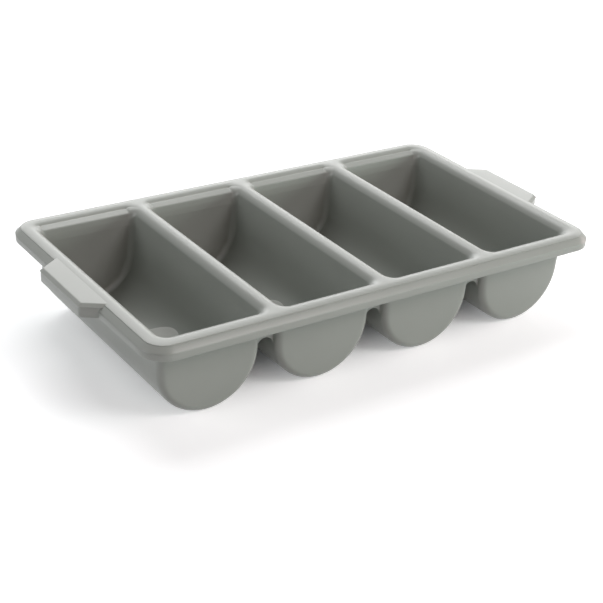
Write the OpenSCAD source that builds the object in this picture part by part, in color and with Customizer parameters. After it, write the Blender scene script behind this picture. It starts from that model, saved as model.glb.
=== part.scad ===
// Cutlery bin: an injection-moulded tray of round-bottomed troughs hung from one rim,
// with a carrying handle at each end. Millimetres, +X along the row of troughs, +Z up.
// The origin is under the middle of the bin, on the surface that the troughs rest on.

/* [Compartments] */
// Number of compartments in the row
compartments = 4; // [2:1:6]
// Distance from one compartment to the next
pitch = 120; // [110:1:150]
// Thickness of the half-round divider between two compartments
divider_t = 20; // [16:0.5:22]
// Length of each opening, front to back
opening_l = 246; // [200:1:320]

/* [Troughs] */
// Height of the rim above the resting surface
height = 92; // [84:1:120]
// Wall thickness of the moulding
wall = 2.5; // [1.5:0.1:3.2]
// How far the side walls lean in between the mouth and the round bottom
side_draft = 1.5; // [1:0.25:5]
// How far each end wall leans in between the mouth and the round bottom
end_draft = 0.5; // [0:0.5:5]
// Inner radius of the upright corners
corner_r = 5; // [4:0.5:7]
// Inner radius where the round bottom meets the end walls
floor_r = 4.5; // [4:0.5:12]

/* [Rim] */
// Width of the rim from an opening to its outer face
rim_band = 22.5; // [22:0.5:28]
// How far the rim's upper outer band leans inwards up to the top
face_out = 6.5; // [4:0.25:8]
// Height of the rim's outer skirt
skirt_h = 14; // [10:0.5:18]
// Height of the upper of the skirt's two bands
band_h = 7; // [6:0.25:9]
// How far the lower band is set back
band_step = 0.4; // [0.2:0.1:1]
// Inner plan radius of the rim's corners
corner_in = 6; // [3:0.5:10]
// Width of the shelf at the front and back of each opening
shelf_w = 5; // [4:0.5:12]
// Depth of the back shelf below the rim's top
shelf_drop = 3.5; // [3:0.25:4.5]
// Radius of the back shelf's inner edge
shelf_r = 1.2; // [0.5:0.1:1.5]

/* [Handles] */
// How far a handle stands out from the rim
handle_out = 14.5; // [10:0.5:25]
// Length of a handle along its outer edge
handle_l = 78; // [60:1:110]
// Length of a handle where it meets the rim
handle_root = 96; // [80:1:140]
// Depth of a handle's skirt
handle_h = 14; // [8:0.5:17]
// Bevel along a handle's top edge
handle_bevel = 2.5; // [1:0.5:4]

/* [Webs] */
// Depth of a web's arch below the rim's top
web_drop = 36; // [28:1:42]
// Radius of a web's arch
arch_r = 7.5; // [5:0.5:8]

/* [Floor pads] */
// Diameter of the round pad in the middle of each floor
pad_d = 66; // [40:1:76]
// Height of the pad above the floor
pad_t = 0.6; // [0.4:0.1:1]

/* [Hidden] */
opening_w = pitch - divider_t;
row_l = (compartments - 1) * pitch + opening_w;
rim_l = row_l + 2 * rim_band;
seat_h = divider_t / 2;
seat_z = height - seat_h;
trough_l = opening_l - 2 * shelf_w;
keel_l = trough_l - 2 * end_draft;
keel_r = opening_w / 2 - side_draft;
keel_z = keel_r + wall;
web_y = keel_l / 2 - floor_r;
corner_grow = wall / 3;
dome_r = 0.96 * rim_band;
slab = 0.5;
spare = 1;
grey = "#9ca29c";
numbers = [1 : compartments];
gaps = [1 : compartments - 1];
$fn = 64;

// Middle of a compartment, and of the gap after it
function trough_x(n) = (n - (compartments + 1) / 2) * pitch;
function gap_x(n) = trough_x(n) + pitch / 2;

// Section of the rim as a filled block: x runs outwards from the opening, y down from the top.
// The inner edge is round, a flatter dome falls away from it, and two bands follow, of which the upper one leans.
module rim_block(inset, depth) {
    intersection() {
        union() {
            translate([seat_h, -seat_h]) circle(seat_h - inset);
            offset(delta = -inset)
                polygon([[0, -depth], [0, -seat_h], [seat_h, 0], [rim_band - face_out, 0], [rim_band, -band_h],
                         [rim_band - band_step, -band_h], [rim_band - band_step, -depth]]);
        }
        translate([seat_h, -dome_r]) circle(dome_r - inset);
        translate([0, -depth]) square([rim_band, depth]);
    }
}

// Section of the rim's shell: a leg beside the opening, the top, and the skirt
module rim_section(leg) {
    difference() {
        rim_block(0, skirt_h);
        rim_block(wall, skirt_h + wall + spare);
        translate([-spare, -skirt_h - spare]) square([seat_h + spare, skirt_h + spare - leg]);
    }
}

// Lay a rim section along the side that faces the given direction
module rim_side(turn, reach, length) {
    rotate(turn) translate([reach, 0, height]) rotate([90, 0, 0])
        linear_extrude(length, center = true) children();
}

module rim_long(turn, leg) {
    color(grey) rim_side(turn, opening_l / 2, row_l - 2 * corner_in) rim_section(leg);
}

module rim_short(turn) {
    color(grey) rim_side(turn, row_l / 2, opening_l - 2 * corner_in) rim_section(seat_h);
}

module rim_corner(side, end, turn, leg) {
    color(grey)
        translate([side * (row_l / 2 - corner_in), end * (opening_l / 2 - corner_in), height])
            rotate(turn) rotate_extrude(angle = 90) translate([corner_in, 0]) rim_section(leg);
}

// Handle outline, drawn for the right end: x runs outwards from the rim's face
module handle_plan(inset) {
    back = -face_out - handle_bevel;
    outer_half = handle_l / 2;
    root_half = handle_root / 2;
    tip = handle_out;
    offset(delta = -inset)
        polygon([[back, -root_half], [0, -root_half], [tip, -outer_half],
                 [tip, outer_half], [0, root_half], [back, root_half]]);
}

module handle(turn) {
    color(grey) difference() {
        rotate(turn) translate([rim_l / 2, 0, height]) difference() {
            hull() {
                translate([0, 0, -handle_h])
                    linear_extrude(handle_h - handle_bevel) handle_plan(0);
                translate([0, 0, -slab]) linear_extrude(slab) handle_plan(handle_bevel);
            }
            translate([0, 0, -handle_h - spare])
                linear_extrude(handle_h + spare - wall) handle_plan(wall);
        }
        rim_side(turn, row_l / 2, handle_root + 2 * spare) rim_block(0, skirt_h + spare);
    }
}

// Form of a trough between its mouth and its round bottom, grown outwards by the given amount
module trough_form(grow, top) {
    edge = floor_r + grow;
    hull() {
        translate([0, 0, seat_z - slab]) linear_extrude(slab + top)
            mouth_plan(opening_w + 2 * grow, trough_l + 2 * grow, corner_r + sign(grow) * corner_grow);
        for (end = [-1, 1])
            translate([0, end * (keel_l / 2 + grow - edge), keel_z]) rotate([90, 180, 0])
                rotate_extrude(angle = 180, $fn = 32)
                    translate([keel_r + grow - edge, 0]) circle(edge, $fn = 24);
    }
}

module mouth_plan(w, l, r) {
    for (x = [-1, 1], y = [-1, 1])
        translate([x * (w / 2 - r), y * (l / 2 - r)]) circle(r, $fn = 24);
}

module trough(n) {
    color(grey) translate([trough_x(n), 0, 0]) difference() {
        trough_form(wall, 0);
        trough_form(0, spare);
    }
}

// Shelf along the back of an opening, from the trough's end wall to under the rim's short leg.
// Its ends follow the round faces beside it.
module shelf_back(n) {
    thick = seat_h - shelf_drop;
    depth = shelf_w + wall + spare;
    width = opening_w + divider_t;
    color(grey) translate([trough_x(n), trough_l / 2, seat_z]) intersection() {
        rotate([90, 0, 90]) linear_extrude(width, center = true) union() {
            square([depth, thick - shelf_r]);
            translate([shelf_r, 0]) square([depth - shelf_r, thick]);
            translate([shelf_r, thick - shelf_r]) circle(shelf_r);
        }
        rotate([90, 0, 0]) linear_extrude(2 * depth + 2 * spare, center = true) difference() {
            translate([-width / 2, 0]) square([width, seat_h]);
            for (x = [-width / 2, width / 2])
                translate([x, 0]) circle(seat_h);
        }
    }
}

// Low shelf along the front of an opening, from the trough's end wall to under the rim's long leg
module shelf_front(n) {
    depth = shelf_w + wall;
    color(grey) translate([trough_x(n), 0, 0]) difference() {
        translate([-opening_w / 2, -trough_l / 2 - depth, seat_z - wall]) cube([opening_w, depth, wall]);
        trough_form(wall, spare);
    }
}

// Half-round divider, let into the rim at both ends
module divider(n) {
    color(grey) difference() {
        translate([gap_x(n), 0, seat_z]) rotate([90, 0, 0])
            linear_extrude(opening_l + 2 * seat_h - 2 * spare, center = true) difference() {
                circle(seat_h);
                circle(seat_h - wall);
                translate([-divider_t, -divider_t]) square([2 * divider_t, divider_t]);
            }
        for (turn = [90, -90])
            rim_side(turn, opening_l / 2, rim_l) rim_block(0, skirt_h);
    }
}

// Arched web that closes the space between two troughs near their ends
module web(n, end) {
    crown_z = height - web_drop;
    half_gap = pitch / 2 - keel_r;
    color(grey) difference() {
        translate([gap_x(n), end * (web_y - wall / 2), 0]) rotate([90, 0, 0])
            linear_extrude(wall, center = true) difference() {
                union() {
                    translate([-half_gap, crown_z - arch_r])
                        square([2 * half_gap, seat_z - crown_z + arch_r]);
                    translate([0, seat_z]) circle(seat_h - wall);
                }
                translate([0, crown_z - arch_r]) circle(arch_r);
            }
        for (side = [n, n + 1])
            translate([trough_x(side), 0, 0]) trough_form(wall, spare);
    }
}

// Thin round pad that follows the middle of a trough's floor
module floor_pad(n) {
    color(grey) translate([trough_x(n), 0, 0]) intersection() {
        cylinder(h = keel_z, d = pad_d);
        difference() {
            trough_form(0, 0);
            trough_form(-pad_t, spare);
        }
    }
}

rim_long(-90, seat_h);  // rim_front
rim_long(90, shelf_drop);  // rim_back
rim_short(180);  // rim_left
rim_short(0);  // rim_right
rim_corner(-1, -1, 180, seat_h);  // rim_corner_front_left
rim_corner(1, -1, -90, seat_h);  // rim_corner_front_right
rim_corner(-1, 1, 90, shelf_drop);  // rim_corner_back_left
rim_corner(1, 1, 0, shelf_drop);  // rim_corner_back_right
handle(180);  // handle_left
handle(0);  // handle_right
for (n = numbers) {
    trough(n);
    shelf_front(n);
    shelf_back(n);
    floor_pad(n);
}
for (n = gaps) {
    divider(n);
    web(n, -1);
    web(n, 1);
}
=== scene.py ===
"""Cutlery bin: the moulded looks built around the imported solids, in metres and in the same frame."""

import math

import bmesh
import bpy
from bpy.props import FloatProperty, FloatVectorProperty, IntProperty, PointerProperty
from mathutils import Matrix, Vector
from mathutils.geometry import delaunay_2d_cdt


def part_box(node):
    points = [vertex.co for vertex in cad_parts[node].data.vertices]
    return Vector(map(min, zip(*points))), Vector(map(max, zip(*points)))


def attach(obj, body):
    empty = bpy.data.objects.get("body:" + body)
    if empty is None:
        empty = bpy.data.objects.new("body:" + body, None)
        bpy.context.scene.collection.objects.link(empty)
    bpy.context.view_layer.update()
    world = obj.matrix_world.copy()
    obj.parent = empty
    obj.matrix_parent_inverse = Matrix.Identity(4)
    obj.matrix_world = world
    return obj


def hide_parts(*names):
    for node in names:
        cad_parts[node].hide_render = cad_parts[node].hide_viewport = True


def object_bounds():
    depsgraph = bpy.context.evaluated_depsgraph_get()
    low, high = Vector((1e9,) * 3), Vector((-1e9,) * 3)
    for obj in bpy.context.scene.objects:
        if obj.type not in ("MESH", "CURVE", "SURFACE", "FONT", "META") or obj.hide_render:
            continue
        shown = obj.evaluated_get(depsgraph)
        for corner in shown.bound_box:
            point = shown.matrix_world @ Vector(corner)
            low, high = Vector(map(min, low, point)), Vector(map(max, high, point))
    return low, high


bl_info = {
    "name": "Cutlery bin",
    "version": (1, 0, 0),
    "blender": (4, 5, 0),
    "location": "View3D > Sidebar > Cutlery bin",
    "description": "Builds a moulded cutlery bin with its floor, light and camera",
    "category": "Object",
}

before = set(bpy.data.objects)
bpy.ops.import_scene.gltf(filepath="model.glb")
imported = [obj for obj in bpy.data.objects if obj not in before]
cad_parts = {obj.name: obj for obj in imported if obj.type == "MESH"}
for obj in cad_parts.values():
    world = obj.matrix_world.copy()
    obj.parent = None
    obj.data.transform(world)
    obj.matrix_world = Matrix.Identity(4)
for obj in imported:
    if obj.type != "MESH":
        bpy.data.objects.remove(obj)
CAD_LOW, CAD_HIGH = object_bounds()

MM = 0.001
QUARTER = math.pi / 2
BODY = "root"

# Steps along a compartment's side, along its end, and round each of its corners
OPENING_STEPS = (24, 14, 12)
# Steps along the rim's ends, along its front and back, and round each of its corners
RIM_STEPS = (48, 96, 16)
# Steps round half a trough, down its straight wall, round its fillets and along it
TROUGH_STEPS = (24, 6, 8, 16)
# Steps along a handle's edges and round its corners, and along its root
HANDLE_STEPS = (8, 12)
# Steps across half a web
WEB_STEPS = 32
# Rings over a floor pad and under it, and steps round it
PAD_STEPS = (12, 6, 72)
# Edges that turn by more than this are shaded sharp
SHARP_ANGLE = math.radians(38)
# Points that are nearer than this are joined
MERGE_GAP = 0.002 * MM
# Refractive index of polypropylene
PLASTIC_IOR = 1.49


def node_middle(node):
    """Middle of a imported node's box."""
    low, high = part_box(node)
    return (low + high) / 2


def node_span(node):
    """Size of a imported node's box."""
    low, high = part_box(node)
    return high - low


def nodes_named(*kinds):
    """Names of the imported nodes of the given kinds."""
    return [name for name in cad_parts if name.startswith(kinds)]


COUNT = len(nodes_named("trough_"))
PITCH = (node_middle("trough_2") - node_middle("trough_1")).x / MM
DIVIDER = node_span("divider_1").x / MM
OPENING_L = -2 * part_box("rim_front")[1].y / MM
RIM_W = node_span("rim_front").y / MM
SKIRT_H = node_span("rim_front").z / MM


def length(name, description, default):
    """A length property whose default is given in millimetres."""
    return FloatProperty(
        name=name, description=description, default=default * MM, unit="LENGTH", precision=4
    )


def colour(name, description, default):
    """A colour property whose default is given as an sRGB hex value."""
    return FloatVectorProperty(
        name=name, description=description, default=linear(default), subtype="COLOR", size=3
    )


def linear(code):
    """Turns an sRGB hex value into linear red, green and blue."""
    shares = [int(code[i : i + 2], 16) / 255 for i in (1, 3, 5)]
    return tuple(s / 12.92 if s <= 0.04045 else ((s + 0.055) / 1.055) ** 2.4 for s in shares)


class BinRim(bpy.types.PropertyGroup):
    """Sizes of the rim, the dividers and the ledges."""

    count: IntProperty(
        name="Compartments", description="Number of compartments in the row", default=COUNT
    )
    pitch: length("Pitch", "Distance from one compartment to the next", PITCH)
    divider: length("Divider", "Thickness of a divider", DIVIDER)
    opening_l: length("Opening length", "Length of an opening from front to back", OPENING_L)
    wall: length("Wall", "Thickness of the moulding", 2.5)
    flare_r: length("Flare", "Radius of the flare from an end wall over to the rim", 16.5)
    back_h: length("Back corner", "Height of the round edge beside the back ledge's ends", 6)
    end_in: length("End wall", "How far the end walls stand inside an opening's ends", 5)
    ledge_w: length("Ledge", "How far the back ledge reaches into an opening", 3.2)
    ledge_drop: length("Ledge drop", "Depth of the back ledge's inner edge below the rim", 4.8)
    ledge_rise: length("Ledge rise", "How far the back ledge rises towards the rim", 2.1)
    ledge_r: length("Ledge edge", "Radius of the ledge's inner edge", 1.3)
    riser_w: length("Riser", "Distance of the riser's foot outside an opening", 4.2)
    crease_w: length("Crease", "Distance of the riser's top outside an opening", 4.75)
    crease_drop: length("Crease drop", "Depth of the riser's top below the rim", 2)
    dome_w: length("Dome width", "Distance of the dome's outer edge outside an opening", 17.2)
    dome_drop: length("Dome drop", "How far the dome falls at its outer edge", 1.15)
    step_h: length("Step", "Height of the small step beside the dome", 0.9)
    band_h: length("Band height", "Depth of the upper band's foot below the rim", 6.8)
    band_step: length("Band step", "How far the lower band is set back", 0.25)
    width: length("Rim width", "Width of the rim out to its bands", RIM_W)
    skirt_h: length("Skirt height", "Height of the rim's skirt", SKIRT_H)
    outer_r: length("Outer corner", "Plan radius of the rim's outer corners", 24)
    joint: length("Joint depth", "Depth at which the rim's moulding passes into the troughs", 17)


class BinTroughs(bpy.types.PropertyGroup):
    """Sizes of the troughs, the webs and the floor pads."""

    radius: length("Radius", "Inner radius of a trough's round bottom", 48.5)
    fillet: length("Inner fillet", "Inner radius where the walls meet", 6.5)
    outer_fillet: length("Outer fillet", "Outer radius where the walls meet", 7)
    end_lean: FloatProperty(
        name="End lean",
        description="How far the end walls lean in",
        default=math.radians(0.8),
        subtype="ANGLE",
    )
    web_y: length("Web place", "Distance of a web's outer face from the bin's middle", 113)
    web_crown: length("Web crown", "Depth of a web's arch below the rim", 36.5)
    web_arch: length("Web arch", "Radius of a web's arch", 8.8)
    pad_d: length("Pad diameter", "Diameter of the round pad on a trough's floor", 66)
    pad_t: length("Pad height", "Height of the pad above the floor", 0.45)


class BinHandles(bpy.types.PropertyGroup):
    """Sizes of the two carrying handles."""

    tip_half: length("Half length", "Half of a handle's top along its outer edge", 38.5)
    spread: FloatProperty(
        name="Spread", description="How fast a handle widens towards the rim", default=0.66
    )
    bevel: length("Bevel", "Width of the bevel round a handle's top", 2.9)
    corner_r: length("Corner radius", "Plan radius of a handle's outer corners", 2)
    depth: length("Depth", "Depth of a handle's skirt", 13.9)
    sink: length("Sink", "How far a handle's top lies below the dividers", 0.4)
    plate: length("Plate", "Distance at which a handle's top begins outside an opening", 13)


class BinColours(bpy.types.PropertyGroup):
    """Colours of the moulding and of the stage."""

    plastic: colour("Plastic", "Colour of the smooth moulded plastic", "#9b9f9a")
    plastic_deep: colour("Plastic, deeper", "Deeper tone in the plastic's slow variation", "#969a95")
    grain: colour("Grain", "Colour of the spark-textured plastic", "#a6aba7")
    # Darker colour for the spark texture's pits: painted shade in them
    grain_pit_shade: colour("Grain, deeper", "Tone of the pits in the spark texture", "#959995")
    # Paler than the plastic: painted sheen for the light that the frosted pads catch
    frost_and_sheen: colour("Frost", "Colour of the finely frosted pads", "#c8cac6")
    sweep: colour("Sweep", "Colour of the paper sweep under the bin", "#f2f3f4")


# Shared shapes


class Form:
    """Sizes that follow from the properties, in metres."""

    def __init__(self, scene):
        rim, troughs = scene.bin_rim, scene.bin_troughs
        self.rim = rim
        self.troughs = troughs
        self.top = CAD_HIGH.z
        self.crest = rim.divider / 2
        self.half_w = (rim.pitch - rim.divider) / 2
        self.half_l = rim.opening_l / 2
        self.row_half = (rim.count - 1) * rim.pitch / 2 + self.half_w
        self.axis_z = troughs.radius + rim.wall
        self.joint_z = self.top - rim.joint
        # The side wall is one line that touches the round bottom and the round edge of the rim
        rise, span = self.top - self.crest - self.axis_z, self.half_w + self.crest
        reach = (troughs.radius + self.crest) / math.hypot(span, rise)
        self.lean = math.acos(reach) - math.atan2(rise, span)
        self.end_l = self.half_l - rim.end_in
        self.flare_x = rim.flare_r - rim.end_in

    def middles(self):
        """Middle of each compartment along the row."""
        return [(n - (self.rim.count - 1) / 2) * self.rim.pitch for n in range(self.rim.count)]

    def wall_x(self, z, radius):
        """Half width of a trough of the given radius at a height."""
        touch_z = self.axis_z - radius * math.sin(self.lean)
        if z >= touch_z:
            return radius * math.cos(self.lean) + (z - touch_z) * math.tan(self.lean)
        return math.sqrt(max(radius**2 - (z - self.axis_z) ** 2, 0))

    def end_y(self, z, half_l):
        """Place of an end wall at a height, with its lean."""
        return half_l * (1 - math.tan(self.troughs.end_lean) * (self.top - z) / self.half_l)

    def dome(self, x, y):
        """Height of the rim's domed top at a place, from the dividers' top."""
        rim = self.rim
        inset = inside(x, y, *self.rim_plan(rim.dome_w))
        return -rim.dome_drop * max(1 - inset / (rim.dome_w - self.crest), 0) ** 2

    def ridge(self, out):
        """Drop of the domed top between the riser and the crest."""
        return self.rim.crease_drop * ((self.crest - out) / (self.crest - self.rim.crease_w)) ** 2

    def side_round(self, share, inset):
        """Distance out and drop along a side's round edge, or along the skin inset below it."""
        angle = mix(self.lean, QUARTER, share)
        radius = self.crest - inset
        return self.crest - radius * math.cos(angle), self.crest - radius * math.sin(angle)

    def flare_turn(self, out, radius):
        """Angle up a flare of the given radius at a distance out."""
        return math.acos(min((self.flare_x - out) / radius, 1))

    def end_flare(self, share, inset):
        """Distance out and drop along an end's flare, or along the skin inset below it."""
        radius = self.rim.flare_r - inset
        last = self.flare_turn(self.crest, radius)
        angle = share * last
        # The flare ends level with the dividers
        excess = self.rim.flare_r - radius * math.sin(last) - inset
        out = self.flare_x - radius * math.cos(angle)
        return out, self.rim.flare_r - radius * math.sin(angle) - share * excess

    def back_corner(self, out):
        """Drop of the round edge beside the back ledge's ends at a distance out."""
        rim = self.rim
        if out > rim.crease_w:
            return self.ridge(out)
        run = min((rim.crease_w - out) / (rim.crease_w + rim.ledge_w), 1)
        return rim.crease_drop + rim.back_h * (1 - math.sqrt(1 - run**2))

    def outer_face(self, drop):
        """Distance out of the rim's outer face at a drop."""
        rim = self.rim
        share = (drop - rim.dome_drop) / (rim.band_h - rim.dome_drop)
        return mix(rim.dome_w, rim.width, min(max(share, 0), 1)) - rim.band_step * (share > 1)

    def rim_plan(self, out):
        """Half length, half width and corner radius of the rim at a distance outside the openings."""
        return self.row_half + out, self.half_l + out, self.rim.outer_r - self.rim.width + out


def ease(share):
    """Smooth step from 0 to 1."""
    share = min(max(share, 0), 1)
    return share * share * (3 - 2 * share)


def mix(first, second, share):
    """Straight blend of two values."""
    return first + (second - first) * share


def inside(x, y, half_x, half_y, radius):
    """Distance inside a rectangle with rounded corners; negative outside it."""
    over_x, over_y = abs(x) - half_x + radius, abs(y) - half_y + radius
    return radius - math.hypot(max(over_x, 0), max(over_y, 0)) - min(max(over_x, over_y), 0)


def around(half_x, half_y, radius_x, radius_y, steps):
    """Points round a rectangle with rounded corners.
    Each has its turn too, which goes from 0 along the sides to 1 along the ends."""
    side_steps, end_steps, corner_steps = steps
    centre_x, centre_y = half_x - radius_x, half_y - radius_y
    points = []
    for quarter in range(4):
        sign_x = 1 if quarter in (0, 3) else -1
        sign_y = 1 if quarter < 2 else -1
        to_end = quarter % 2 == 0
        for i in range(corner_steps + 1):
            part = i / corner_steps
            angle = QUARTER * (quarter + part)
            x = sign_x * centre_x + radius_x * math.cos(angle)
            y = sign_y * centre_y + radius_y * math.sin(angle)
            points.append((x, y, part if to_end else 1 - part))
        run = end_steps if to_end else side_steps
        for i in range(1, run):
            share = 1 - 2 * i / run
            if to_end:
                points.append((sign_x * centre_x * share, sign_y * half_y, 1.0))
            else:
                points.append((sign_x * half_x, sign_y * centre_y * share, 0.0))
    return points


def loft(bm, rows, closed=True):
    """Faces between rows of points; gives back the rows of vertices."""

    def vertex(point):
        return point if isinstance(point, bmesh.types.BMVert) else bm.verts.new(point)

    made = [[vertex(point) for point in row] for row in rows]
    for first, second in zip(made, made[1:]):
        count = len(first)
        for i in range(count if closed else count - 1):
            j = (i + 1) % count
            bm.faces.new((first[i], first[j], second[j], second[i]))
    return made


def to_mesh(name, bm):
    """Turns a shape into a mesh whose faces look outwards."""
    bmesh.ops.recalc_face_normals(bm, faces=bm.faces)
    mesh = bpy.data.meshes.new(name)
    bm.to_mesh(mesh)
    bm.free()
    return mesh


def finish_piece(name, bm, materials, nodes):
    """Turns a closed shape into a piece that stands for the named nodes."""
    bmesh.ops.remove_doubles(bm, verts=bm.verts, dist=MERGE_GAP)
    loose = [edge for edge in bm.edges if not edge.is_manifold]
    if loose:
        raise RuntimeError(f"{name} is open or branched at {len(loose)} edges")
    place_piece(name, to_mesh(name, bm), materials, nodes)


def place_piece(name, mesh, materials, nodes):
    """Shades a mesh, gives it its materials and sets it in the frame."""
    for face in mesh.polygons:
        face.use_smooth = True
    mesh.set_sharp_from_angle(angle=SHARP_ANGLE)
    mesh.materials.clear()
    for material in materials:
        mesh.materials.append(material)
    piece = bpy.data.objects.new(name, mesh)
    bpy.context.scene.collection.objects.link(piece)
    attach(piece, BODY)
    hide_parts(*nodes)


# Nodes


def add_node(tree, kind, inputs=None, **settings):
    """Adds a node, makes its settings, and sets or links its inputs."""
    node = tree.nodes.new(kind)
    for key, value in settings.items():
        setattr(node, key, value)
    for key, value in (inputs or {}).items():
        if isinstance(value, bpy.types.NodeSocket):
            tree.links.new(value, node.inputs[key])
        else:
            node.inputs[key].default_value = value
    return node


def repeat_in_row(name, mesh, material, count, pitch):
    """Repeats a mesh along the row with Geometry Nodes and gives back one plain mesh."""
    tree = bpy.data.node_groups.new(name + "_row", "GeometryNodeTree")
    sockets = {"Geometry": "Geometry", "Count": "Int", "Pitch": "Float", "Material": "Material"}
    for socket, kind in sockets.items():
        tree.interface.new_socket(socket, in_out="INPUT", socket_type="NodeSocket" + kind)
    tree.interface.new_socket("Geometry", in_out="OUTPUT", socket_type="NodeSocketGeometry")
    given = add_node(tree, "NodeGroupInput").outputs
    # The row begins half of its reach before the middle
    first = given["Count"]
    for operation, value in (("SUBTRACT", 1.0), ("MULTIPLY", given["Pitch"]), ("MULTIPLY", -0.5)):
        inputs = {0: first, 1: value}
        first = add_node(tree, "ShaderNodeMath", inputs, operation=operation).outputs[0]
    start = add_node(tree, "ShaderNodeCombineXYZ", {"X": first}).outputs[0]
    step = add_node(tree, "ShaderNodeCombineXYZ", {"X": given["Pitch"]}).outputs[0]
    inputs = {"Count": given["Count"], "Start Location": start, "Offset": step}
    line = add_node(tree, "GeometryNodeMeshLine", inputs).outputs[0]
    inputs = {"Points": line, "Instance": given["Geometry"]}
    row = add_node(tree, "GeometryNodeInstanceOnPoints", inputs).outputs[0]
    real = add_node(tree, "GeometryNodeRealizeInstances", {"Geometry": row}).outputs[0]
    inputs = {"Geometry": real, "Material": given["Material"]}
    dressed = add_node(tree, "GeometryNodeSetMaterial", inputs).outputs[0]
    add_node(tree, "NodeGroupOutput", {"Geometry": dressed})
    holder = bpy.data.objects.new(name + "_base", mesh)
    bpy.context.scene.collection.objects.link(holder)
    modifier = holder.modifiers.new("row", "NODES")
    modifier.node_group = tree
    values = {"Count": count, "Pitch": pitch, "Material": material}
    for item in tree.interface.items_tree:
        if item.in_out == "INPUT" and item.name in values:
            modifier[item.identifier] = values[item.name]
    holder.update_tag()
    graph = bpy.context.evaluated_depsgraph_get()
    result = bpy.data.meshes.new_from_object(holder.evaluated_get(graph), depsgraph=graph)
    holder.modifiers.remove(modifier)
    bpy.data.objects.remove(holder)
    result.name = name
    return result


# Materials


def solid(rgb):
    """A colour with full cover."""
    return (*rgb, 1.0)


def new_material(name):
    """A material by its name, with an empty tree, or with None where it was made before."""
    material = bpy.data.materials.get(name)
    if material:
        return material, None
    material = bpy.data.materials.new(name)
    material.use_nodes = True
    material.node_tree.nodes.clear()
    return material, material.node_tree


def seen_rays(tree):
    """1 for what the camera sees straight, by reflection or through glass, and 0 for falling light."""
    path = add_node(tree, "ShaderNodeLightPath").outputs
    seen = path["Is Camera Ray"]
    for kind in ("Is Glossy Ray", "Is Transmission Ray"):
        inputs = {0: seen, 1: path[kind]}
        seen = add_node(tree, "ShaderNodeMath", inputs, operation="MAXIMUM").outputs[0]
    return seen


def moulded_polypropylene(colours):
    """Smooth injection-moulded polypropylene: an even, slightly waxy grey with a broad soft gloss.
    The tone drifts slowly where the melt cooled, and a faint mould texture keeps highlights wide."""
    material, tree = new_material("injection_moulded_polypropylene")
    if not tree:
        return material
    place = add_node(tree, "ShaderNodeTexCoord").outputs["Object"]
    # Flow marks about 70 mm across
    inputs = {"Vector": place, "Scale": 1 / (70 * MM), "Detail": 2.0}
    flow = add_node(tree, "ShaderNodeTexNoise", inputs).outputs["Fac"]
    inputs = {"Factor": flow, "A": solid(colours.plastic), "B": solid(colours.plastic_deep)}
    tone = add_node(tree, "ShaderNodeMix", inputs, data_type="RGBA").outputs["Result"]
    # Gloss changes over patches about 18 mm across
    inputs = {"Vector": place, "Scale": 1 / (18 * MM), "Detail": 3.0}
    patches = add_node(tree, "ShaderNodeTexNoise", inputs).outputs["Fac"]
    inputs = {"Value": patches, "To Min": 0.29, "To Max": 0.35}
    roughness = add_node(tree, "ShaderNodeMapRange", inputs).outputs["Result"]
    # The mould's fine texture is about 0.3 mm; it is drawn at 0.9 mm so that it shows
    inputs = {"Vector": place, "Scale": 1 / (0.9 * MM), "Detail": 2.0}
    skin = add_node(tree, "ShaderNodeTexNoise", inputs).outputs["Fac"]
    inputs = {"Height": skin, "Strength": 0.12, "Distance": 0.06 * MM}
    relief = add_node(tree, "ShaderNodeBump", inputs).outputs["Normal"]
    inputs = {"Base Color": tone, "Roughness": roughness, "Normal": relief, "IOR": PLASTIC_IOR}
    surface = add_node(tree, "ShaderNodeBsdfPrincipled", inputs).outputs[0]
    add_node(tree, "ShaderNodeOutputMaterial", {"Surface": surface})
    return material


def spark_textured_polypropylene(colours):
    """Polypropylene where the mould was spark-eroded: a paler, dry grain that scatters highlights."""
    material, tree = new_material("spark_textured_polypropylene")
    if not tree:
        return material
    place = add_node(tree, "ShaderNodeTexCoord").outputs["Object"]
    # Spark pits are about 0.4 mm; they are drawn at 1.3 mm so that they show
    inputs = {"Vector": place, "Scale": 1 / (1.3 * MM), "Detail": 3.0}
    pits = add_node(tree, "ShaderNodeTexNoise", inputs).outputs["Fac"]
    inputs = {"Value": pits, "From Min": 0.35, "From Max": 0.65}
    depth = add_node(tree, "ShaderNodeMapRange", inputs).outputs["Result"]
    # The pits take the darker colour as painted shade
    inputs = {"Factor": depth, "A": solid(colours.grain_pit_shade), "B": solid(colours.grain)}
    tone = add_node(tree, "ShaderNodeMix", inputs, data_type="RGBA").outputs["Result"]
    inputs = {"Value": depth, "To Min": 0.72, "To Max": 0.58}
    roughness = add_node(tree, "ShaderNodeMapRange", inputs).outputs["Result"]
    inputs = {"Height": depth, "Strength": 0.35, "Distance": 0.15 * MM}
    relief = add_node(tree, "ShaderNodeBump", inputs).outputs["Normal"]
    inputs = {"Base Color": tone, "Roughness": roughness, "Normal": relief, "IOR": PLASTIC_IOR}
    surface = add_node(tree, "ShaderNodeBsdfPrincipled", inputs).outputs[0]
    add_node(tree, "ShaderNodeOutputMaterial", {"Surface": surface})
    return material


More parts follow.
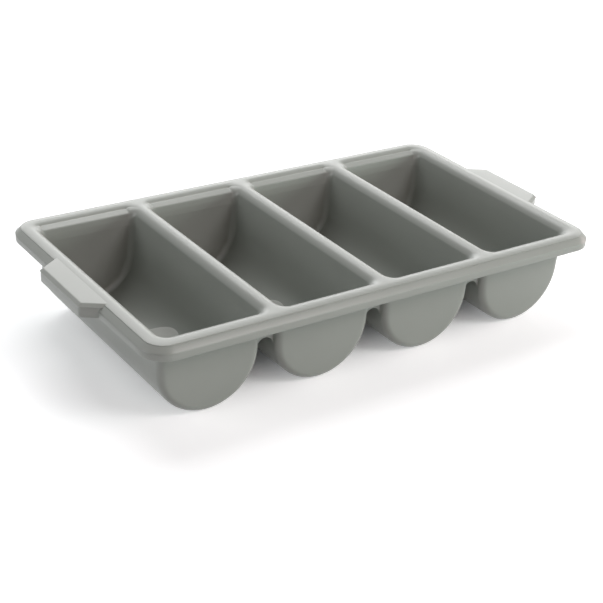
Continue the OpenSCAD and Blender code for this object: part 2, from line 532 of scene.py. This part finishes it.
def frosted_polypropylene(colours):
    """Polypropylene where the mould was finely blasted: even and rough, without a highlight, and paler
    than the plastic as painted sheen.
    """
    material, tree = new_material("frosted_polypropylene")
    if not tree:
        return material
    place = add_node(tree, "ShaderNodeTexCoord").outputs["Object"]
    # The blasted grain is about 0.1 mm; it is drawn at 0.8 mm so that it shows
    inputs = {"Vector": place, "Scale": 1 / (0.8 * MM), "Detail": 2.0}
    grain = add_node(tree, "ShaderNodeTexNoise", inputs).outputs["Fac"]
    inputs = {"Height": grain, "Strength": 0.15, "Distance": 0.08 * MM}
    relief = add_node(tree, "ShaderNodeBump", inputs).outputs["Normal"]
    # The pale colour is painted sheen, not the pads' own pigment
    tone = solid(colours.frost_and_sheen)
    inputs = {"Base Color": tone, "Roughness": 0.75, "Normal": relief, "IOR": PLASTIC_IOR}
    surface = add_node(tree, "ShaderNodeBsdfPrincipled", inputs).outputs[0]
    add_node(tree, "ShaderNodeOutputMaterial", {"Surface": surface})
    return material


def matte_paper(colours):
    """White paper sweep, fully matt. It glows a little to the camera and in gloss but lights nothing,
    so that it is white outside the shadow. Near the troughs it glows less, as painted shade."""
    material, tree = new_material("matte_paper")
    if not tree:
        return material
    place = add_node(tree, "ShaderNodeTexCoord").outputs["Object"]
    # Paper fibre about 2 mm long
    inputs = {"Vector": place, "Scale": 1 / (2 * MM), "Detail": 2.0}
    fibre = add_node(tree, "ShaderNodeTexNoise", inputs).outputs["Fac"]
    inputs = {"Height": fibre, "Strength": 0.05, "Distance": 0.05 * MM}
    relief = add_node(tree, "ShaderNodeBump", inputs).outputs["Normal"]
    white = solid(colours.sweep)
    paper = add_node(tree, "ShaderNodeBsdfDiffuse", {"Color": white, "Normal": relief}).outputs[0]
    # The glow fades in with the distance from the troughs: the paper near and between them is painted
    # darker, as painted shade that deepens the shadow there
    away = place
    for operation, *values in (("ABSOLUTE",), ("SUBTRACT", PAINTED_SHADE_HALF), ("MAXIMUM", (0, 0, 0))):
        inputs = dict(enumerate([away, *values]))
        away = add_node(tree, "ShaderNodeVectorMath", inputs, operation=operation).outputs["Vector"]
    away = add_node(tree, "ShaderNodeVectorMath", {0: away}, operation="LENGTH").outputs["Value"]
    inputs = {"Value": away, "From Max": PAINTED_SHADE_FADE, "To Min": PAINTED_SHADE_GLOW, "To Max": SWEEP_GLOW}
    fade = add_node(tree, "ShaderNodeMapRange", inputs, interpolation_type="SMOOTHSTEP")
    inputs = {0: seen_rays(tree), 1: fade.outputs["Result"]}
    level = add_node(tree, "ShaderNodeMath", inputs, operation="MULTIPLY").outputs[0]
    glow = add_node(tree, "ShaderNodeEmission", {"Color": white, "Strength": level}).outputs[0]
    both = add_node(tree, "ShaderNodeAddShader", {0: paper, 1: glow}).outputs[0]
    add_node(tree, "ShaderNodeOutputMaterial", {"Surface": both})
    return material


# Rim, dividers and ledges

# Share of a corner's turn from which the back follows its ledge
LEDGE_TURN = 0.8
# Least turn of the flares from one loop to the next, so that no two loops meet
FLARE_TURN = math.radians(3.8)
# Distances from the dome's edge of its rows of points, and their least distance from a crest
DOME_INSETS = (0.6 * MM, 1.6 * MM, 2.8 * MM, 4.2 * MM, 5.8 * MM)
DOME_CLEAR = 0.8 * MM
# Loops where the back wall leans out: share of the way, and millimetres below the ledge's round edge
WALL_LEAN = ((0.25, 6), (0.55, 3.5), (0.95, 0.5))
# How far those loops stay below the round edge beside the ledge's ends
CORNER_CLEAR = 0.3 * MM


def opening_row(form, middle, radii, side, front, back, ledge):
    """One loop round an opening. side, front, back and ledge each give the distance out and the drop.
    The corners turn from the sides' form to the ends' form. The back between them follows its ledge."""
    row = []
    half_x = form.half_w + side[0]
    for x, y, turn in around(half_x, form.half_l + front[0], *radii, OPENING_STEPS):
        share = ease(turn)
        drop = mix(side[1], front[1], share)
        if y > 0 and turn > LEDGE_TURN:
            y, drop = y + ledge[0] - front[0], ledge[1]
        elif y > 0:
            y, drop = y + share * (back[0] - front[0]), mix(side[1], back[1], share)
        row.append((middle + x, y, form.top - drop))
    return row


def opening_rows(form, middle, radius, half_l, fillet, stops):
    """Loops from the joint with a trough of the given sizes over the stops to the crest."""
    drop = form.rim.joint
    end = (form.end_y(form.joint_z, half_l) - form.half_l, drop)
    side = (form.wall_x(form.joint_z, radius) - form.half_w, drop)
    rows = [opening_row(form, middle, (fillet / math.cos(form.lean), fillet), side, end, end, end)]
    for stop in stops:
        corner = form.troughs.fillet + stop[0][0]
        rows.append(opening_row(form, middle, (corner, corner), *stop))
    return rows


def ledge_stops(form):
    """Distance out and drop up the back wall, over its ledge, up the riser and over to the crest."""
    rim = form.rim
    foot, low = -rim.ledge_w, rim.ledge_drop - rim.ledge_rise
    # The wall leans out towards the ledge
    stops = [
        (mix(-rim.end_in, foot, share), rim.ledge_drop + rim.ledge_r + rise * MM)
        for share, rise in WALL_LEAN
    ]
    # The ledge's inner edge is a quarter round
    steps = 3
    for i in range(steps + 1):
        angle = QUARTER * i / steps
        out = foot + rim.ledge_r * (1 - math.cos(angle))
        stops.append((out, rim.ledge_drop + rim.ledge_r * (1 - math.sin(angle))))
    # The ledge rises to the riser's foot
    for share in (0.12, 0.3, 0.5, 0.7, 0.93):
        out = mix(foot + rim.ledge_r, rim.riser_w, share)
        stops.append((out, rim.ledge_drop - rim.ledge_rise * share))
    stops += [(rim.riser_w - 0.1 * MM, low + 0.15 * MM), (rim.riser_w + 0.1 * MM, low - 0.3 * MM)]
    # The riser's top is rounded by a fraction of a millimetre
    bend = 0.25 * MM
    slope = (rim.crease_w - rim.riser_w) / (low - rim.crease_drop)
    start = (rim.crease_w - bend * slope, rim.crease_drop + bend)
    tip = (rim.crease_w, rim.crease_drop)
    stop = (rim.crease_w + bend, form.ridge(rim.crease_w + bend))
    for share in (0, 0.3, 0.7, 1):
        first = [mix(a, b, share) for a, b in zip(start, tip)]
        second = [mix(a, b, share) for a, b in zip(tip, stop)]
        stops.append(tuple(mix(a, b, share) for a, b in zip(first, second)))
    outs = [mix(stop[0], form.crest, share) for share in (0.3, 0.65, 1)]
    return stops + [(out, form.ridge(out)) for out in outs]


def upper_stops(form):
    """Stops of the seen skin. The sides and the flares keep step with the ledge."""
    stops = []
    last = form.flare_turn(form.crest, form.rim.flare_r)
    for i, (out, drop) in enumerate(ledge_stops(form)):
        share = max(FLARE_TURN * i, form.flare_turn(out, form.rim.flare_r)) / last
        share = min(share, 1)
        corner = form.back_corner(out)
        if i < len(WALL_LEAN):
            corner = max(drop, corner + CORNER_CLEAR)
        stops.append((form.side_round(share, 0), form.end_flare(share, 0), (out, corner), (out, drop)))
    return stops


def lower_stops(form):
    """Stops of the hidden skin, a wall's thickness away."""
    wall, steps = form.rim.wall, 10
    stops = []
    for i in range(steps + 1):
        end = form.end_flare(i / steps, wall)
        stops.append((form.side_round(i / steps, wall), end, end, end))
    return stops


def skirt_stops(form):
    """Distance out and drop of the loops from the dome's edge over the skirt's bands to its inside."""
    rim = form.rim
    edge, drop, step = rim.dome_w, rim.dome_drop, rim.step_h
    band = rim.width - rim.band_step
    groove = band - 0.3 * MM
    inner = band - rim.wall
    stops = [
        (edge, drop),
        (edge + 0.15 * MM, drop + 0.15 * step),
        (edge + 0.2 * MM, drop + 0.85 * step),
        (edge + 0.35 * MM, drop + step),
    ]
    # The upper band bulges by a fraction of a millimetre
    start = (edge + 0.6 * MM, drop + 1.2 * step)
    foot = (rim.width - 0.15 * MM, rim.band_h - 0.35 * MM)
    for share in (0, 0.15, 0.5, 0.85, 1):
        bulge = 0.5 * MM * share * (1 - share)
        out, fall = (mix(a, b, share) for a, b in zip(start, foot))
        stops.append((out + bulge, fall - bulge / 2))
    return stops + [
        # Lower edge of the upper band, and the groove under it
        (rim.width, rim.band_h - 0.1 * MM),
        (rim.width - 0.1 * MM, rim.band_h + 0.05 * MM),
        (groove, rim.band_h + 0.2 * MM),
        (groove, rim.band_h + 0.6 * MM),
        # Lower band and its round lower edge
        (band - 0.05 * MM, rim.band_h + 0.9 * MM),
        (band, rim.band_h + 1.2 * MM),
        (band, rim.skirt_h - 1.1 * MM),
        (band - 0.15 * MM, rim.skirt_h - 0.45 * MM),
        (band - 0.5 * MM, rim.skirt_h - 0.1 * MM),
        (band - 1 * MM, rim.skirt_h),
        # Inside of the skirt
        (inner + 0.5 * MM, rim.skirt_h),
        (inner, rim.skirt_h - 0.5 * MM),
        (inner, rim.band_h + 1.5 * MM),
        (edge + 0.6 * MM, drop + rim.wall + 1.6 * MM),
        (edge, drop + rim.wall),
    ]


def rim_row(form, out, drop):
    """One loop round the whole rim."""
    half_x, half_y, radius = form.rim_plan(out)
    return [(x, y, form.top - drop) for x, y, _ in around(half_x, half_y, radius, radius, RIM_STEPS)]


def fill_between(bm, form, dome_edge, crests):
    """Fills the rim's top, and its underside a wall below, from the dome's edge to the openings.
    dome_edge and each of crests hold an upper and a lower row of vertices."""
    plan, edges, uppers, lowers = [], [], [], []
    for upper, lower in [dome_edge] + crests:
        start = len(plan)
        count = len(upper)
        plan += [Vector((v.co.x, v.co.y)) for v in upper]
        edges += [(start + i, start + (i + 1) % count) for i in range(count)]
        uppers += upper
        lowers += lower
    crest_plan = [size + form.crest for size in (form.half_w, form.half_l, form.troughs.fillet)]

    def clear_of_openings(x, y):
        return min(-inside(x - middle, y, *crest_plan) for middle in form.middles())

    for inset in DOME_INSETS:
        for x, y, _ in rim_row(form, form.rim.dome_w - inset, 0):
            if clear_of_openings(x, y) > DOME_CLEAR:
                z = form.top + form.dome(x, y)
                plan.append(Vector((x, y)))
                uppers.append(bm.verts.new((x, y, z)))
                lowers.append(bm.verts.new((x, y, z - form.rim.wall)))
    _, _, faces, origins, _, _ = delaunay_2d_cdt(plan, edges, [], 0, MERGE_GAP / 10)
    rim_edge = form.rim_plan(form.rim.dome_w)
    for face in faces:
        corners = [origins[i][0] for i in face]
        middle = sum((plan[i] for i in corners), Vector((0, 0))) / 3
        if clear_of_openings(*middle) > 0 and inside(*middle, *rim_edge) > 0:
            bm.faces.new([uppers[i] for i in corners])
            bm.faces.new([lowers[i] for i in reversed(corners)])


class CUTLERYBIN_OT_deck(bpy.types.Operator):
    """Build the rim with its dividers and ledges as one moulding"""

    bl_idname = "cutlery_bin.deck"
    bl_label = "Rim and dividers"

    def execute(self, context):
        form = Form(context.scene)
        troughs, wall = form.troughs, form.rim.wall
        bm = bmesh.new()
        crests = []
        inner = (troughs.radius, form.end_l, troughs.fillet, upper_stops(form))
        outer = (troughs.radius + wall, form.end_l + wall, troughs.outer_fillet, lower_stops(form))
        for middle in form.middles():
            upper = opening_rows(form, middle, *inner)
            lower = opening_rows(form, middle, *outer)
            rows = loft(bm, upper[::-1] + lower)
            crests.append((rows[0], rows[-1]))
        skirt = loft(bm, [rim_row(form, *stop) for stop in skirt_stops(form)])
        fill_between(bm, form, (skirt[0], skirt[-1]), crests)
        plastic = moulded_polypropylene(context.scene.bin_colours)
        finish_piece("moulded_deck", bm, [plastic], nodes_named("rim_", "divider_", "shelf_"))
        return {"FINISHED"}


# Troughs


def trough_chain(form, radius, y):
    """Points down one side of a trough's section, round its bottom and up the other side."""
    arc_steps, wall_steps, _, _ = TROUGH_STEPS
    touch_x = radius * math.cos(form.lean)
    touch_z = form.axis_z - radius * math.sin(form.lean)
    top_x = form.wall_x(form.joint_z, radius)
    half = []
    for i in range(wall_steps):
        share = i / wall_steps
        half.append((mix(top_x, touch_x, share), mix(form.joint_z, touch_z, share)))
    for i in range(arc_steps + 1):
        angle = mix(form.lean, QUARTER, i / arc_steps)
        half.append((radius * math.cos(angle), form.axis_z - radius * math.sin(angle)))
    section = half + [(-x, z) for x, z in half[-2::-1]]
    return [(x, form.end_y(z, y), z) for x, z in section]


def trough_sheet(bm, form, radius, half_l, fillet):
    """One skin of a trough, closed but for its mouth; gives back the loop round its mouth."""
    fillet_steps, run_steps = TROUGH_STEPS[2:]
    straight = half_l - fillet
    # Inset and place along the trough of the loops round the fillet
    turns = []
    for i in range(fillet_steps + 1):
        angle = QUARTER * i / fillet_steps
        turns.append((fillet * (1 - math.cos(angle)), straight + fillet * math.sin(angle)))
    # A narrow last strip keeps the end wall's shading flat
    turns.append((fillet + 0.8 * MM, half_l))
    run = [(0, straight * (2 * i / run_steps - 1)) for i in range(1, run_steps)]
    chains = [(inset, -y) for inset, y in reversed(turns)] + run + turns
    rows = loft(bm, [trough_chain(form, radius - inset, y) for inset, y in chains], closed=False)
    for chain in (rows[0], rows[-1]):
        last = len(chain) - 1
        for i in range(last // 2 - 1):
            bm.faces.new((chain[i], chain[i + 1], chain[last - i - 1], chain[last - i]))
        middle = last // 2
        bm.faces.new((chain[middle - 1], chain[middle], chain[middle + 1]))
    return [row[0] for row in rows] + [row[-1] for row in reversed(rows)]


class CUTLERYBIN_OT_troughs(bpy.types.Operator):
    """Build the round-bottomed troughs"""

    bl_idname = "cutlery_bin.troughs"
    bl_label = "Troughs"

    def execute(self, context):
        form = Form(context.scene)
        troughs, wall = form.troughs, form.rim.wall
        inner = (troughs.radius, form.end_l, troughs.fillet)
        outer = (troughs.radius + wall, form.end_l + wall, troughs.outer_fillet)
        for n, middle in enumerate(form.middles(), 1):
            bm = bmesh.new()
            loft(bm, [trough_sheet(bm, form, *sizes) for sizes in (inner, outer)])
            bmesh.ops.translate(bm, verts=bm.verts, vec=(middle, 0, 0))
            plastic = moulded_polypropylene(context.scene.bin_colours)
            finish_piece(f"moulded_trough_{n}", bm, [plastic], [f"trough_{n}"])
        return {"FINISHED"}


# Handles

# Loops round a handle's top edge: growth of the outline, drop and shift of the root in millimetres
HANDLE_EDGE = ((-1.4, 0, 1), (-0.7, 0.03, 0), (-0.1, 0.18, 0), (0.4, 0.5, 0))
# How far the skirt runs into the rim, in millimetres
HANDLE_RUN = 1.2
# How far the lip under the bevel stands out from the skirt
HANDLE_LIP = 0.6 * MM
# Least plan radius of a handle's corners
LEAST_CORNER = 0.3 * MM


def handle_row(form, handles, grow, drop, root):
    """One loop round a handle, closed along the rim at a distance root.
    Its outer edge and its ends are grown outwards."""
    steps, root_steps = HANDLE_STEPS
    spread = handles.spread
    tip = CAD_HIGH.x - handles.bevel + grow
    half = handles.tip_half + grow * (math.hypot(1, spread) - spread)
    root_x = form.row_half + root
    root_half = half + (tip - root_x) * spread
    slope = math.atan2(1, spread)
    radius = max(handles.corner_r + grow, LEAST_CORNER)
    # The corner's arc turns from the handle's end to its outer edge
    back = radius * math.tan(slope / 2)
    centre = Vector((tip - radius, half - back))
    half_row = [
        (mix(root_x, tip, i / steps), mix(root_half, half, i / steps)) for i in range(steps - 1)
    ]
    for i in range(steps + 1):
        angle = slope * (1 - i / steps)
        half_row.append((centre.x + radius * math.cos(angle), centre.y + radius * math.sin(angle)))
    half_row += [(tip, (half - back) * (1 - i / steps)) for i in range(1, steps + 1)]
    outer = half_row + [(x, -y) for x, y in half_row[-2::-1]]
    closing = [(root_x, root_half * (2 * i / root_steps - 1)) for i in range(1, root_steps)]
    return [(x, y, form.top - drop) for x, y in outer + closing]


def handle_shape(form, handles):
    """A closed handle for the right end: bevelled top, lipped skirt, hollow from below."""
    bevel, depth, wall, band_h = handles.bevel, handles.depth, form.rim.wall, form.rim.band_h
    lip = bevel - HANDLE_LIP
    inner = lip - wall
    ceiling = handles.sink + wall
    # Growth of the outline and drop of the loops over the lip, down the skirt and round its lower edge
    outside = [
        (lip, bevel - 0.2 * MM),
        (bevel, bevel + 0.2 * MM),
        (bevel, bevel + 0.6 * MM),
        (lip, bevel + 0.9 * MM),
        (lip, bevel + 1.3 * MM),
        (lip, band_h),
        (lip, depth - 0.7 * MM),
        (lip - 0.2 * MM, depth - 0.2 * MM),
        (lip - 0.6 * MM, depth),
    ]
    # The same up the inside, and how far each loop runs into the rim in millimetres
    hollow = [
        (inner + 0.5 * MM, depth, 1.0),
        (inner, depth - 0.5 * MM, 0.5),
        (inner, band_h, 0.5),
        (inner, bevel + wall, 0.5),
        (inner - 1 * MM, ceiling + 0.6 * MM, 0.5),
        (inner - 2 * MM, ceiling + 0.4 * MM, 0.2),
    ]
    below = [(grow, drop, HANDLE_RUN) for grow, drop in outside] + hollow
    stops = [
        (grow * MM, handles.sink + drop * MM, handles.plate + root * MM)
        for grow, drop, root in HANDLE_EDGE
    ]
    stops += [(grow, drop, form.outer_face(drop) - run * MM) for grow, drop, run in below]
    bm = bmesh.new()
    rows = loft(bm, [handle_row(form, handles, *stop) for stop in stops])
    top = bm.faces.new(rows[0])
    bm.faces.new(rows[-1])
    bm.faces.ensure_lookup_table()
    # The top and the first two rings round it have the grain
    for face in [top] + list(bm.faces)[: 2 * len(rows[0])]:
        face.material_index = 1
    bmesh.ops.triangulate(bm, faces=[face for face in bm.faces if len(face.verts) > 4])
    return bm


class CUTLERYBIN_OT_handles(bpy.types.Operator):
    """Build the two carrying handles"""

    bl_idname = "cutlery_bin.handles"
    bl_label = "Handles"

    def execute(self, context):
        form = Form(context.scene)
        colours = context.scene.bin_colours
        materials = [moulded_polypropylene(colours), spark_textured_polypropylene(colours)]
        for side, sign in (("left", -1), ("right", 1)):
            bm = handle_shape(form, context.scene.bin_handles)
            bmesh.ops.scale(bm, verts=bm.verts, vec=(sign, 1, 1))
            finish_piece(f"moulded_handle_{side}", bm, materials, [f"handle_{side}"])
        return {"FINISHED"}


# Webs and floor pads

# How far a web runs into the walls beside it
WEB_SINK = 0.7 * MM
# Share of half a web's stations that stand under its top
WEB_TOP = 0.3
# Width and height of the bevel on the arch's edges
WEB_BEVEL = (0.2 * MM, 0.4 * MM)


def web_stations(form):
    """Stations across a web, each with a point on its arch and one on its top or wall."""
    troughs, rim = form.troughs, form.rim
    centre = form.top - troughs.web_crown - troughs.web_arch
    # The top lies inside the divider, and the walls end just above the arch's feet
    head = form.top - form.crest + 1 * MM
    foot = centre + 0.3 * MM

    def wall(z):
        return rim.pitch / 2 - form.wall_x(z, troughs.radius + rim.wall) + WEB_SINK

    stations = []
    for i in range(WEB_STEPS + 1):
        share = i / WEB_STEPS
        turn = QUARTER * share
        arch = (troughs.web_arch * math.sin(turn), centre + troughs.web_arch * math.cos(turn))
        z = mix(head, foot, max(share - WEB_TOP, 0) / (1 - WEB_TOP))
        stations.append((arch, (wall(z) * min(share / WEB_TOP, 1), z)))
    return [((-a, b), (-c, d)) for (a, b), (c, d) in stations[:0:-1]] + stations


class CUTLERYBIN_OT_webs(bpy.types.Operator):
    """Build the arched webs that tie neighbouring troughs together"""

    bl_idname = "cutlery_bin.webs"
    bl_label = "Webs"

    def execute(self, context):
        form = Form(context.scene)
        outer, inner = form.troughs.web_y, form.troughs.web_y - form.rim.wall
        inset, lift = WEB_BEVEL
        # Place along the bin and lift of the arch's edge round a web's section
        places = ((outer, lift), (outer - inset, 0), (inner + inset, 0), (inner, lift))
        bm = bmesh.new()
        for end in (-1, 1):
            rows = []
            for (arch_x, arch_z), (top_x, top_z) in web_stations(form):
                row = [(arch_x, end * y, arch_z + rise) for y, rise in places]
                rows.append(row + [(top_x, end * y, top_z) for y in (inner, outer)])
            made = loft(bm, rows)
            for section in (made[0], made[-1]):
                bm.faces.new(section)
        plastic = moulded_polypropylene(context.scene.bin_colours)
        base = to_mesh("web_pair", bm)
        row = repeat_in_row("moulded_webs", base, plastic, form.rim.count - 1, form.rim.pitch)
        place_piece("moulded_webs", row, [plastic], nodes_named("web_"))
        return {"FINISHED"}


class CUTLERYBIN_OT_floor_pads(bpy.types.Operator):
    """Build the round frosted pads on the trough floors"""

    bl_idname = "cutlery_bin.floor_pads"
    bl_label = "Floor pads"

    def execute(self, context):
        form = Form(context.scene)
        troughs = form.troughs
        over, under, steps = PAD_STEPS
        reach, height, foot = troughs.pad_d / 2, troughs.pad_t, -0.5 * MM
        # Radius and height above the floor of the rings, from the middle to the edge and back below
        rings = [(reach * i / over, height) for i in range(1, over)]
        rings += [(reach - 0.6 * MM, height), (reach - 0.15 * MM, 0.7 * height), (reach, 0.0)]
        rings += [(reach * i / under, foot) for i in range(under, 0, -1)]
        bm = bmesh.new()

        def floor_point(x, y, lift):
            return x, y, form.axis_z - math.sqrt((troughs.radius - lift) ** 2 - x * x)

        angles = [2 * math.pi * i / steps for i in range(steps)]
        rows = [
            [floor_point(radius * math.cos(a), radius * math.sin(a), lift) for a in angles]
            for radius, lift in rings
        ]
        made = loft(bm, rows)
        for ring, lift in ((made[0], height), (made[-1], foot)):
            middle = bm.verts.new(floor_point(0, 0, lift))
            for i, vert in enumerate(ring):
                bm.faces.new((middle, vert, ring[i - 1]))
        frost_and_sheen = frosted_polypropylene(context.scene.bin_colours)
        base = to_mesh("floor_pad", bm)
        row = repeat_in_row("moulded_floor_pads", base, frost_and_sheen, form.rim.count, form.rim.pitch)
        place_piece("moulded_floor_pads", row, [frost_and_sheen], nodes_named("floor_pad_"))
        return {"FINISHED"}


# Stage

# Half the paper's length in metres; it ends where the lamps still light it white
SWEEP_HALF = 1.65
# How much the paper glows to the camera and in gloss, away from the bin and between its troughs, where
# the lower glow paints shade
SWEEP_GLOW = 0.5
PAINTED_SHADE_GLOW = 0.04
# Half sizes of the place between the troughs that gets painted shade, and the distance over which the
# glow fades in, in metres
PAINTED_SHADE_HALF = (0.15, 0.05, 0)
PAINTED_SHADE_FADE = 0.085
# Level of the light that comes from all round
ROOM_LEVEL = 0.04
# Distance of the softboxes in metres
LAMP_DISTANCE = 2.6
# Name, azimuth and elevation in degrees, width and height in metres, watts and tint of the softboxes
SOFTBOXES = (
    ("key_back_right", 55, 27, 3.2, 1.1, 19.5, "#ffffff"),
    ("back_low", 60, 13, 2.6, 0.8, 9, "#ffffff"),
    ("overhead", 78, 58, 1.8, 1.8, 37, "#ffffff"),
    ("strip_front_right", 314, 10, 1.1, 0.8, 17.5, "#e4fff3"),
    ("right_low", 345, 14, 1.3, 0.8, 16, "#ffe4e4"),
    ("front_right", 300, 42, 1.1, 1.1, 22, "#fff8f8"),
    ("left", 166, 20, 1.2, 0.9, 13.8, "#ffffff"),
    ("front", 270, 30, 1.1, 1.1, 4.6, "#ffd2d0"),
)
# Heading from +Y towards +X, tilt below the horizon, roll, place and lens of the camera
CAMERA_HEADING = math.radians(35.57)
CAMERA_TILT = math.radians(27.43)
CAMERA_ROLL = math.radians(-3.558)
CAMERA_PLACE = (-735.6 * MM, -1026.1 * MM, 665.4 * MM)
CAMERA_LENS = 84.13


def add_lamp(name, azimuth, elevation, width, height, power, tint):
    """A softbox aimed at the bin. Azimuth runs from +X towards +Y, and angles are in degrees."""
    data = bpy.data.lights.new(name, "AREA")
    data.shape = "RECTANGLE"
    data.size = width
    data.size_y = height
    data.energy = power
    data.color = linear(tint)
    lamp = bpy.data.objects.new(name, data)
    turn, rise = math.radians(azimuth), math.radians(elevation)
    level = math.cos(rise)
    away = Vector((math.cos(turn) * level, math.sin(turn) * level, math.sin(rise)))
    lamp.location = Vector((0, 0, CAD_HIGH.z / 2)) + away * LAMP_DISTANCE
    lamp.rotation_euler = (-away).to_track_quat("-Z", "Y").to_euler()
    bpy.context.scene.collection.objects.link(lamp)


def add_camera(scene):
    """Camera at the photograph's viewing angle."""
    data = bpy.data.cameras.new("camera")
    data.lens = CAMERA_LENS
    camera = bpy.data.objects.new("camera", data)
    level = math.cos(CAMERA_TILT)
    sine, cosine = math.sin(CAMERA_HEADING), math.cos(CAMERA_HEADING)
    ahead = Vector((sine * level, cosine * level, -math.sin(CAMERA_TILT)))
    across = Vector((cosine, -sine, 0))
    down = ahead.cross(across)
    right = across * math.cos(CAMERA_ROLL) + down * math.sin(CAMERA_ROLL)
    below = down * math.cos(CAMERA_ROLL) - across * math.sin(CAMERA_ROLL)
    turn = Matrix((right, -below, -ahead)).transposed()
    camera.matrix_world = Matrix.Translation(CAMERA_PLACE) @ turn.to_4x4()
    scene.collection.objects.link(camera)
    scene.camera = camera


def light_world(scene):
    """A dim studio room that the camera, and gloss, see as white."""
    world = bpy.data.worlds.new("studio")
    scene.world = world
    world.use_nodes = True
    tree = world.node_tree
    tree.nodes.clear()
    white = solid((1, 1, 1))
    inputs = {"Color": white, "Strength": ROOM_LEVEL}
    room = add_node(tree, "ShaderNodeBackground", inputs).outputs[0]
    backdrop = add_node(tree, "ShaderNodeBackground", {"Color": white}).outputs[0]
    inputs = {0: seen_rays(tree), 1: room, 2: backdrop}
    both = add_node(tree, "ShaderNodeMixShader", inputs).outputs[0]
    add_node(tree, "ShaderNodeOutputWorld", {"Surface": both})


class CUTLERYBIN_OT_stage(bpy.types.Operator):
    """Lay the paper sweep and set the light and the camera"""

    bl_idname = "cutlery_bin.stage"
    bl_label = "Stage"

    def execute(self, context):
        scene = context.scene
        scene.view_settings.view_transform = "Standard"
        mesh = bpy.data.meshes.new("paper_sweep")
        signs = ((-1, -1), (1, -1), (1, 1), (-1, 1))
        corners = [(x * SWEEP_HALF, y * SWEEP_HALF, 0) for x, y in signs]
        mesh.from_pydata(corners, [], [(0, 1, 2, 3)])
        mesh.materials.append(matte_paper(scene.bin_colours))
        sweep = bpy.data.objects.new("paper_sweep", mesh)
        scene.collection.objects.link(sweep)
        light_world(scene)
        for lamp in SOFTBOXES:
            add_lamp(*lamp)
        add_camera(scene)
        return {"FINISHED"}


class CUTLERYBIN_PT_panel(bpy.types.Panel):
    """The bin's sizes, colours and building steps"""

    bl_label = "Cutlery bin"
    bl_idname = "CUTLERYBIN_PT_panel"
    bl_space_type = "VIEW_3D"
    bl_region_type = "UI"
    bl_category = "Cutlery bin"

    def draw(self, context):
        layout = self.layout
        for key in GROUPS:
            group = getattr(context.scene, key)
            box = layout.box()
            for name in group.__annotations__:
                box.prop(group, name)
        for operator in OPERATORS:
            layout.operator(operator.bl_idname)


GROUPS = {
    "bin_rim": BinRim,
    "bin_troughs": BinTroughs,
    "bin_handles": BinHandles,
    "bin_colours": BinColours,
}
OPERATORS = (
    CUTLERYBIN_OT_stage,
    CUTLERYBIN_OT_deck,
    CUTLERYBIN_OT_troughs,
    CUTLERYBIN_OT_handles,
    CUTLERYBIN_OT_webs,
    CUTLERYBIN_OT_floor_pads,
)


def register():
    """Register the classes and give the scene its settings."""
    for key, group in GROUPS.items():
        bpy.utils.register_class(group)
        setattr(bpy.types.Scene, key, PointerProperty(type=group))
    for operator in OPERATORS:
        bpy.utils.register_class(operator)
    bpy.utils.register_class(CUTLERYBIN_PT_panel)


def unregister():
    """Take the settings and the classes away again."""
    bpy.utils.unregister_class(CUTLERYBIN_PT_panel)
    for operator in reversed(OPERATORS):
        bpy.utils.unregister_class(operator)
    for key, group in reversed(GROUPS.items()):
        delattr(bpy.types.Scene, key)
        bpy.utils.unregister_class(group)


def main():
    """Build the bin on its stage."""
    register()
    bpy.ops.cutlery_bin.stage()
    bpy.ops.cutlery_bin.deck()
    bpy.ops.cutlery_bin.troughs()
    bpy.ops.cutlery_bin.handles()
    bpy.ops.cutlery_bin.webs()
    bpy.ops.cutlery_bin.floor_pads()


if __name__ == "__main__":
    main()
